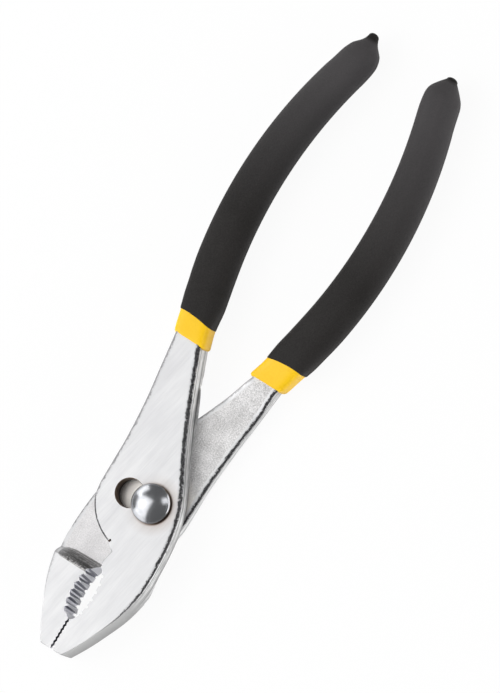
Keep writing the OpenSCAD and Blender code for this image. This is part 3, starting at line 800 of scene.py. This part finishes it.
def makeHalf(side):
    runs = halfOutline(side)
    first, outline = {}, []
    for label, run in runs:
        first[label] = len(outline)
        outline += run
    n = len(outline)
    sizes = [roundings(x, zone, side) for x, v, zone in outline]
    for _ in range(half["roundEase"]):  # ease the change from one rounding to the next
        sizes = [
            tuple((a + 2 * b + c) / 4 for a, b, c in zip(sizes[i - 1], sizes[i], sizes[(i + 1) % n]))
            for i in range(n)]
    points, falls, scales, slopes, steps = [], [], [], [], half["roundSteps"]
    for i, (x, v, zone) in enumerate(outline):
        back, ahead = outline[i - 1], outline[(i + 1) % n]
        a = Vector((x - back[0], v - back[1])).normalized()
        b = Vector((ahead[0] - x, ahead[1] - v)).normalized()
        way = (a + b).normalized()
        inward = Vector((-way.y, way.x)) / max(0.5, way.dot(a))
        topR, topLean, topScale, lowR, lowLean, lowScale, rim = sizes[i]
        top, low = topLevel(side, x), bottomLevel(side, x, v)
        turns = [math.pi / 2 * k / steps for k in range(steps + 1)]
        column = [(topLean + topR + rim, top, 0.0)]
        for k, a in enumerate(turns):
            column.append((topLean + topR * (1 - math.sin(a)), top - topR * (1 - math.cos(a)), 1 + k / steps))
        column.append((0.0, max(0.0, low + lowR + 0.02), 3.0))
        lip = low
        if zone == "side":
            comeDown = ease(x, half["lipStart"][side], half["lipEnd"]) ** half["lipPower"]
            lip = min(low, -tool["lapThick"] * comeDown)
            lip = min(lip, -half["crotchLip"][side] * ease(x, *half["crotchRun"]))
        for k, a in reversed(list(enumerate(turns))):
            column.append((lowLean + lowR * (1 - math.sin(a)), lip + lowR * (1 - math.cos(a)), 5 - k / steps))
        column.append((lowLean + lowR + rim, low, 6.0))
        for d, h, fall in column:
            deep = v + inward.y * d
            points.append((x + inward.x * d, mouthLean(deep, h) if zone == "mouth" else deep, h))
        falls += [fall for d, h, fall in column]
        scales += [topScale if fall < 3 else lowScale for d, h, fall in column]
        slopes += [slopeAt(x, v)] * len(column)
    m = len(points) // n
    faces, finish = [], []
    for i in range(n):
        j = (i + 1) % n
        for k in range(m - 1):
            faces.append((i * m + k, i * m + k + 1, j * m + k + 1, j * m + k))
            flat = k in (0, m - 2)
            finish.append("edge" if outline[i][2] != "mouth" else "ground" if flat else "crestHighlight")

    def span(start, stop):
        return list(range(start, stop + 1))

    def cap(indices, ring, finishName):
        faces.append(tuple(i * m + ring for i in indices))
        finish.append(finishName)

    def strips(upper, lower, ring, finishName):
        for k in range(len(upper) - 1):
            cap([upper[k], upper[k + 1], lower[k + 1], lower[k]], ring, finishName)

    upperHandle = span(0, first["upperLap"] - 1)
    lowerHandle = span(first["lowerHandle"], n - 1)[::-1]
    coatPlace = sum(1 for i in upperHandle if outline[i][0] > half["coatX"][side] + 1e-6)
    cap(span(upperHandle[coatPlace], lowerHandle[coatPlace]), 0, "ground")
    strips(upperHandle[:coatPlace + 1], lowerHandle[:coatPlace + 1], 0, "ground")
    strips(upperHandle, lowerHandle, m - 1, "forged")
    upperRamp = span(first["upperRamp"], first["jaw"] - 1)
    lowerRamp = span(first["lowerRamp"], first["lowerLap"] - 1)[::-1]
    rows = []
    for up, down in zip(upperRamp, lowerRamp):  # the slope, as rows from the mouth to the side
        startPoint, endPoint = points[up * m + m - 1], points[down * m + m - 1]
        slope, row = slopes[up * m], [up * m + m - 1]
        for k in range(1, half["rampColumns"]):
            v = mix(startPoint[1], endPoint[1], k / half["rampColumns"])
            row.append(len(points))
            points.append((mix(footAt(v), half["rampTop"], slope), v, startPoint[2]))
            falls.append(6.0)
            scales.append(0.0)
            slopes.append(slope)
        rows.append(row + [down * m + m - 1])
    for near, far in zip(rows, rows[1:]):
        for k in range(half["rampColumns"]):
            faces.append((near[k], near[k + 1], far[k + 1], far[k]))
            finish.append("ramp")

    def innerRing(start, stop):
        return [i * m + m - 1 for i in span(start, stop)]

    faces.append(tuple(innerRing(upperRamp[-1], lowerRamp[-1]) + rows[-1][-2:0:-1]))
    faces.append(tuple(innerRing(upperHandle[-1], upperRamp[0]) + rows[0][1:-1]
                       + innerRing(lowerRamp[0], lowerHandle[-1])))
    finish += ["ground", "forged"]
    used = ["ground", "edge", "forged", "ramp", "crestHighlight"]
    made = makeObject(side + "HalfSteel", points, faces, used, finish)
    for label, values in (("fall", falls), ("scale", scales), ("slope", slopes)):
        addValues(made, label, values)
    turnOutwards(made)
    deep = 2 * (tool["lapThick"] + mouth["barOver"])
    teeth = grooveBars(
        side + "Teeth", Count=mouth["toothCount"], Pitch=mouth["toothPitch"][side],
        Start=mouth["toothStart"][side], Level=mouth["jawLevel"], Bow_Depth=mouth["innerDeep"],
        Bow_Middle=mouth["middleX"], Bow_Half_Length=mouth["halfLong"], Groove_Share=mouth["toothShare"],
        Groove_Depth=mouth["toothDeep"] / math.sin(math.pi / 3), Bar_Length=deep, Bar_Sides=6,
        Finish=finishes[side + "Tooth"])
    leanTeeth(teeth, side)
    serration = grooveBars(
        side + "Serration", Count=half["serrationCount"], Pitch=half["serrationPitch"],
        Start=mouth["middleX"] - mouth["halfLong"] - half["serrationSet"][side],
        Level=mouth["jawLevel"], Bow_Depth=0.0, Bow_Middle=0.0, Bow_Half_Length=1.0,
        Groove_Share=half["serrationShare"], Groove_Depth=half["serrationDepth"],
        Bar_Length=deep, Bar_Sides=4, Finish=finishes[side + "Tooth"])
    cutters = [teeth, serration]
    for x, v, r in half["relief"]:
        cutters.append(tubeCutter("relief", (x, v), throughLevels(r)))
    cutters += [slotCutter()] if side == "front" else boreCutters()
    cutBy(made, cutters)
    print(side, "half:", len(made.data.polygons), "faces")
    return finished(made, placeMatrix(side), half["sharpAngle"])


def tubeCutter(name, middle, levels):  # round cutter through (height, radius) levels
    angles = [2 * math.pi * j / 72 for j in range(72)]
    rings = [
        [(middle[0] + r * math.cos(a), middle[1] + r * math.sin(a), h) for a in angles] for h, r in levels]
    return lofted(name, rings, "bore")


def keyhole(extra):  # plan of the slot, grown by extra
    r, neck = tool["holeDia"] / 2 + extra, tool["neckWide"] / 2 + extra
    lean = math.radians(tool["slotLean"])
    meet = math.degrees(math.asin(neck / r))
    plan = []
    for far, start in ((0, 90 + meet), (tool["slotPitch"], 270 + meet)):
        for a in spread(start, start + 360 - 2 * meet, 5):
            x, y = r * math.cos(math.radians(a)), r * math.sin(math.radians(a)) + far
            plan.append((x * math.cos(lean) - y * math.sin(lean), x * math.sin(lean) + y * math.cos(lean)))
    return plan


def throughLevels(r):  # a plain hole
    over = half["cutOver"]
    return [(-over, r), (tool["lapThick"] + over, r)]


def brokenLevels(start, r):  # a hole with a broken edge at the outer face
    top, edge, over = tool["lapThick"], half["holeEdge"], half["cutOver"]
    return [(start, r), (top - edge, r), (top + 0.02, r + edge), (top + over, r + edge)]


def slotCutter():
    levels = brokenLevels(-half["cutOver"], 0.0)
    rings = [[(x, y - tool["centreY"], h) for x, y in keyhole(extra)] for h, extra in levels]
    return lofted("slotCutter", rings, "bore")


def boreCutters():
    middle, seat = (0, tool["centreY"]), tool["lapZ"] - half["nutSeatDeep"]
    return [
        tubeCutter("bore", middle, throughLevels(half["boreRadius"])),
        tubeCutter("counterbore", middle, brokenLevels(seat, half["nutSeatRadius"])),
    ]


frontHalf = makeHalf("front")
rearHalf = makeHalf("rear")


# pivot bolt: domed head, shank with two flats, journal and threaded end

bolt = {
    "headDia": 11.7, "headHigh": 3.2, "rimHigh": 0.95, "headGap": 0.1, "play": 0.05,
    "rimRound": [(0.0, 0.3), (0.08, 0.08), (0.2, 0.0)],  # height over the head's underside, step in
    "rimSoften": 0.06,         # how far the dome's edge is let down
    "journalDia": 7.0, "threadDia": 6.0, "nutHigh": 3.0,
    "endZ": 0.05, "endFlat": 0.4, "endChamfer": (0.45, 0.5),
    "domeSteps": 22, "around": 96, "sharpAngle": 40,
}


def makeBolt():
    headZ = tool["lapZ"] + tool["lapThick"] + bolt["headGap"]
    radius = bolt["headDia"] / 2
    domeHigh = bolt["headHigh"] - bolt["rimHigh"]
    domeR = (radius * radius + domeHigh * domeHigh) / (2 * domeHigh)
    widest = math.asin(radius / domeR)
    flat = tool["neckWide"] / 2 - bolt["play"]
    shankR = tool["holeDia"] / 2 - bolt["play"]
    journalR, threadR = bolt["journalDia"] / 2, bolt["threadDia"] / 2
    endZ, split, (stepIn, stepUp) = bolt["endZ"], tool["lapZ"], bolt["endChamfer"]
    levels = [  # height, radius, half width over the flats
        (endZ, bolt["endFlat"], None), (endZ, threadR - stepIn, None), (stepUp, threadR, None),
        (bolt["nutHigh"], threadR, None), (bolt["nutHigh"], journalR, None), (split, journalR, None),
        (split, shankR, flat), (headZ, shankR, flat)]
    levels += [(headZ + up, radius - inward, None) for up, inward in bolt["rimRound"]]
    top = headZ + bolt["headHigh"]
    for k in range(bolt["domeSteps"]):
        a = widest * (1 - k / bolt["domeSteps"])
        soften = bolt["rimSoften"] if k == 0 else 0.0
        levels.append((top - domeR * (1 - math.cos(a)) - soften, domeR * math.sin(a), None))
    lean = math.radians(tool["slotLean"])

    def reachAt(a, r, flatHalf):
        return r if flatHalf is None else min(r, flatHalf / max(1e-6, abs(math.cos(a - lean))))

    rings = [
        aroundPivot(bolt["around"], z, lambda a, r=r, flatHalf=flatHalf: reachAt(a, r, flatHalf))
        for z, r, flatHalf in levels]
    made = lofted("pivotBoltSteel", rings, "polished")
    return finished(made, Matrix.Scale(mm, 4), bolt["sharpAngle"])


# pivot nut: hexagon with turned chamfers

nut = {
    "wide": 10.0, "high": 3.0, "bore": 6.1, "boreChamfer": 0.45,
    "chamfer": 0.55, "chamferSlope": 1.25, "chamferSteps": 4, "around": 96, "sharpAngle": 25,
}


def makeNut():
    corner = nut["wide"] / 2 / math.cos(math.pi / 6)
    inner, bevel = nut["bore"] / 2, nut["boreChamfer"]
    levels = [(0.0, inner + bevel)]
    for k in range(nut["chamferSteps"] + 1):
        t = k / nut["chamferSteps"]
        levels.append((nut["chamfer"] * t, corner - nut["chamfer"] * nut["chamferSlope"] * (1 - t)))
    levels += [(nut["high"], corner), (nut["high"], inner), (bevel, inner), (0.0, inner + bevel)]

    def hexagonAt(a):
        return nut["wide"] / 2 / math.cos((a % (math.pi / 3)) - math.pi / 6)

    rings = [aroundPivot(nut["around"], z, lambda a, r=r: min(r, hexagonAt(a))) for z, r in levels]
    made = lofted("pivotNutSteel", rings, "plated", capped=False)
    return finished(made, Matrix.Scale(mm, 4), nut["sharpAngle"])


pivotBolt = makeBolt()
pivotNut = makeNut()
print("pivot made")


# dipped grips: a yellow first coat that shows as a band, and a charcoal outer coat with a drip

grip = {
    "coatX": {"front": 45.1, "rear": 46.1},
    "blackX": {"front": 52.0, "rear": 53.8},
    "endX": {"front": 148.3, "rear": 149.15},
    "endKnots": {              # half width from where the end starts to narrow to where its drip rounds off
        "front": [(134, 5.92), (139.2, 5.6), (141, 5.22), (142.9, 4.45), (143.8, 3.72), (145, 2.65),
                  (146, 2.0), (147.1, 1.58)],
        "rear": [(134, 5.92), (141.6, 5.68), (143.9, 5.05), (146, 3.55), (146.7, 2.95), (147.6, 2.15),
                 (148.1, 1.7)]},
    "driftStart": 135,         # from here the end runs straighter than the bow
    "drift": {"front": 3.3, "rear": 2.8},
    "coatDrop": {"front": 4.3, "rear": 2.7},
    "thick": 0.25,
    "overSteel": 0.35,         # of the yellow coat, above the steel
    "underStart": -1.2,        # the yellow's lip starts this far under its own surface
    "blackStart": -0.15,       # and the black's this far under the yellow's
    "wideKnots": [(46, 5.5), (52, 5.6), (58, 6.4), (66, 6.62), (74, 6.55), (90, 6.38), (106, 6.22),
                  (122, 6.05), (134, 5.92)],
    "mouthShift": {"front": 0.75, "rear": 0.05},
    "mouthWiden": {"front": 0.15, "rear": 0.3},
    "mouthSquare": 5.0,
    "gripSquare": 2.35,
    "swellRun": 16,
    "lipBulge": {"outer": 0.6, "under": 0.25},
    "lipTilt": {"outer": 0.9, "under": 0.0},    # the edge lies nearer the jaws on the inner side
    "lipPower": 2.5,
    "lipLeast": 0.4,
    "lipFade": 5,
    "lipSteps": 6,
    "bodyStep": 1.2,
    "endStep": 0.3,
    "tipSteps": 8,
    "tipTurn": 8 / 8.4,        # part of a quarter turn that the drip's tip is rounded over
    "around": 64,
    "sharpAngle": 60,
}


def signedPower(c, power):
    return math.copysign(abs(c) ** power, c)


def gripRing(side, x, extra, shrink, bulge=0.0, tilt=0.0):
    coat, end = grip["coatX"][side], grip["endX"][side]
    full = ease(x, coat, coat + grip["swellRun"])
    drift = grip["drift"][side] * max(0.0, (x - grip["driftStart"]) / (end - grip["driftStart"])) ** 2
    middle = handleMid(x) + grip["mouthShift"][side] * (1 - full) + drift
    widen = grip["mouthWiden"][side] * (1 - full)
    knots = grip["wideKnots"]
    wide = (curveAt(knots, min(x, knots[-1][0])) + widen - grip["thick"] + extra) * shrink
    overSteel = tool["lapThick"] + grip["overSteel"]
    topH = overSteel + extra
    lowH = mix(grip["coatDrop"][side], overSteel, full) + extra
    high, lift = (topH + lowH) / 2 * shrink, (topH - lowH) / 2
    power = 2 / mix(grip["mouthSquare"], grip["gripSquare"], full)
    ring = []
    for j in range(grip["around"]):
        a = 2 * math.pi * j / grip["around"]
        c, s = signedPower(math.cos(a), power), signedPower(math.sin(a), power)
        edge = bulge * (1 - abs(c) ** grip["lipPower"]) + tilt * (c - 1) / 2
        ring.append((x + edge, middle + wide * c, lift + high * s))
    return ring


def makeCoat(name, side, coat, mouthX, extra, under, finishName):
    end, knots = grip["endX"][side], grip["endKnots"][side]
    bulge, tilt = grip["lipBulge"][coat], grip["lipTilt"][coat]
    lip = max(grip["lipLeast"], extra - under)
    rings = []
    for k in range(grip["lipSteps"] + 1):  # rolled lip, from just under the surface below it
        a = math.pi / 2 * k / grip["lipSteps"]
        rings.append(gripRing(
            side, mouthX + lip * (1 - math.cos(a)), mix(under, extra, math.sin(a)), 1, bulge, tilt))
    for x in spread(mouthX + lip, knots[0][0], grip["bodyStep"])[1:]:
        fade = 1 - ease(x, mouthX + lip, mouthX + lip + grip["lipFade"])
        rings.append(gripRing(side, x, extra, 1, bulge * fade, tilt * fade))
    thinner = 0 if coat == "outer" else grip["thick"]
    fullWide = knots[0][1] - thinner
    for x in spread(knots[0][0], knots[-1][0], grip["endStep"])[1:]:  # the end narrows to a drip
        rings.append(gripRing(side, x - thinner, extra, (curveAt(knots, x) - thinner) / fullWide))
    tipX, tip = knots[-1][0] - thinner, (knots[-1][1] - thinner) / fullWide
    for k in range(1, grip["tipSteps"] + 1):
        a = math.pi / 2 * k / grip["tipSteps"] * grip["tipTurn"]
        rings.append(gripRing(
            side, tipX + (end - thinner - tipX) * math.sin(a), extra, tip * math.cos(a)))
    return finished(lofted(name, rings, finishName), placeMatrix(side), grip["sharpAngle"])


underCoats, outerCoats = {}, {}
for side in ("front", "rear"):
    underCoats[side] = makeCoat(
        side + "UnderGripVinyl", side, "under", grip["coatX"][side], 0.0, grip["underStart"], "yellow")
    outerCoats[side] = makeCoat(
        side + "GripVinyl", side, "outer", grip["blackX"][side], grip["thick"], grip["blackStart"],
        side + "Black")
print("grips made")


# every piece moves with its body and stands for its CAD node

for piece, body, node, slotName in (
    (frontHalf, "front", "front_half", "satin_steel"),
    (rearHalf, "rear", "rear_half", "forged_steel"),
    (pivotBolt, "pivot", "pivot_bolt", "polished_steel"),
    (pivotNut, "pivot", "pivot_nut", "plated_steel"),
    (underCoats["front"], "front", "front_under_grip", "yellow_vinyl"),
    (underCoats["rear"], "rear", "rear_under_grip", "yellow_vinyl"),
    (outerCoats["front"], "front", "front_grip", "black_vinyl"),
    (outerCoats["rear"], "rear", "rear_grip", "black_vinyl"),
):
    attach(piece, body)
    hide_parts(node)
print("pieces ride on their bodies")


# camera, as the photograph looks: steeply from above, with the tool lying on the slant

camera = {
    "right": (0.519, -0.817, -0.253), "up": (0.854, 0.509, 0.110),
    "anchor": (0, 0, 11.6), "anchorPixel": (151.3, 503.9), "frameMiddle": (250, 346.5),
    "pixelsPerMm": 3.49, "lens": 700, "sensor": 36, "frameLong": 693, "clip": (0.05, 20),
}


def makeCamera():
    right = Vector(camera["right"]).normalized()
    up = Vector(camera["up"])
    up = (up - right * up.dot(right)).normalized()
    back = right.cross(up)
    across = (camera["frameMiddle"][0] - camera["anchorPixel"][0]) / camera["pixelsPerMm"]
    along = (camera["anchorPixel"][1] - camera["frameMiddle"][1]) / camera["pixelsPerMm"]
    aim = Vector(camera["anchor"]) + right * across + up * along
    far = camera["lens"] / camera["sensor"] * camera["frameLong"] / camera["pixelsPerMm"]
    data = bpy.data.cameras.new("camera")
    data.lens, data.sensor_width = camera["lens"], camera["sensor"]
    data.clip_start, data.clip_end = camera["clip"]
    made = bpy.data.objects.new("camera", data)
    bpy.context.scene.collection.objects.link(made)
    turn = Matrix((right, up, back)).transposed().to_4x4()
    made.matrix_world = Matrix.Translation((aim + back * far) * mm) @ turn
    bpy.context.scene.camera = made


makeCamera()


# floor and light

studio = {
    "floorSize": 4.0, "floorWhite": 0.9, "floorGlow": 0.94, "worldLight": 0.75, "worldDark": 0.16,
    "worldBright": (-0.5, 0.8, 0.33), "worldRun": (0.5, 0.85),  # way to its bright side, and how it fades
    "lamps": [  # name, place, size, radiance, spot it faces
        ("overheadPanel", (-0.88, 1.04, 1.0), (2.24, 1.92), 1.6, (-0.88, 1.04, 0)),
        ("keyBox", (-0.4, 0.75, 1.0), (0.4, 0.4), 6.0, (0.04, 0, 0)),
        ("farCard", (0.5, 1.4, 0.5), (1.1, 0.7), 1.9, (0.04, 0, 0)),
        ("leftCard", (-1.8, 0.85, 0.5), (1.9, 0.8), 1.4, (0.04, 0, 0)),
        ("nearCard", (0.7, -0.6, 0.76), (0.42, 0.5), 1.5, (0.04, 0, 0)),
        ("topCard", (1.5, 0.5, 0.45), (1.0, 0.5), 1.6, (0.04, 0, 0)),
        ("rightCard", (0.75, -1.1, 0.25), (1.8, 0.42), 2.2, (0.04, 0, 0)),
        ("sideFill", (0.2, -1.2, 0.35), (2.0, 0.7), 1.7, (0.04, 0, 0)),
    ],
    "unmirrored": ("topCard", "sideFill"),  # soft fills that metal doesn't mirror
    "mirrored": ("farCard", "leftCard", "nearCard"),  # cards that are only mirrored
}


def makeFloor():
    s = studio["floorSize"]
    mesh = bpy.data.meshes.new("floor")
    mesh.from_pydata([(-s, -s, 0), (s, -s, 0), (s, s, 0), (-s, s, 0)], [], [(0, 1, 2, 3)])
    mat = bpy.data.materials.new("floorPaper")
    mat.use_nodes = True
    tree = mat.node_tree
    tree.nodes.remove(tree.nodes["Principled BSDF"])
    path = addNode(tree, "ShaderNodeLightPath").outputs
    seen = math2(tree, "MAXIMUM", math2(tree, "MAXIMUM", path["Is Camera Ray"], path["Is Glossy Ray"]),
                 path["Is Transmission Ray"])
    white = studio["floorWhite"]
    paper = addNode(tree, "ShaderNodeBsdfDiffuse", {"Color": (white, white, white, 1)}).outputs[0]
    glow = addNode(tree, "ShaderNodeEmission", {"Color": (1, 1, 1, 1), "Strength": 1.0}).outputs[0]
    share = math2(tree, "MULTIPLY", seen, studio["floorGlow"])
    both = addNode(tree, "ShaderNodeMixShader", {0: share, 1: paper, 2: glow}).outputs[0]
    tree.links.new(both, tree.nodes["Material Output"].inputs["Surface"])
    mesh.materials.append(mat)
    made = bpy.data.objects.new("floor", mesh)
    bpy.context.scene.collection.objects.link(made)


def makeLights():
    world = bpy.data.worlds.new("studio")
    bpy.context.scene.world = world
    world.use_nodes = True
    tree = world.node_tree
    way = addNode(tree, "ShaderNodeTexCoord").outputs["Generated"]
    side = addNode(tree, "ShaderNodeVectorMath", {0: way, 1: studio["worldBright"]}, operation="DOT_PRODUCT")
    lit = math2(tree, "MULTIPLY_ADD", side.outputs["Value"], 0.5, third=0.5)
    start, stop = studio["worldRun"]
    shade = ramp(tree, lit, [(start, studio["worldDark"]), (stop, studio["worldLight"])])
    dark = (studio["worldDark"],) * 3
    mirrored = mixColour(tree, addNode(tree, "ShaderNodeLightPath").outputs["Is Glossy Ray"], shade, dark)
    tree.links.new(mirrored, tree.nodes["Background"].inputs["Color"])
    for name, place, size, radiance, spot in studio["lamps"]:
        data = bpy.data.lights.new(name, "AREA")
        data.shape = "RECTANGLE"
        data.size, data.size_y = size
        data.energy = radiance * math.pi * size[0] * size[1]
        made = bpy.data.objects.new(name, data)
        bpy.context.scene.collection.objects.link(made)
        made.location = place
        made.rotation_euler = (Vector(spot) - Vector(place)).to_track_quat("-Z", "Y").to_euler()
        made.visible_camera = False
        made.visible_glossy = name not in studio["unmirrored"]
        made.visible_diffuse = name not in studio["mirrored"]


makeFloor()
makeLights()
bpy.context.scene.view_settings.view_transform = "Standard"
print("studio set")
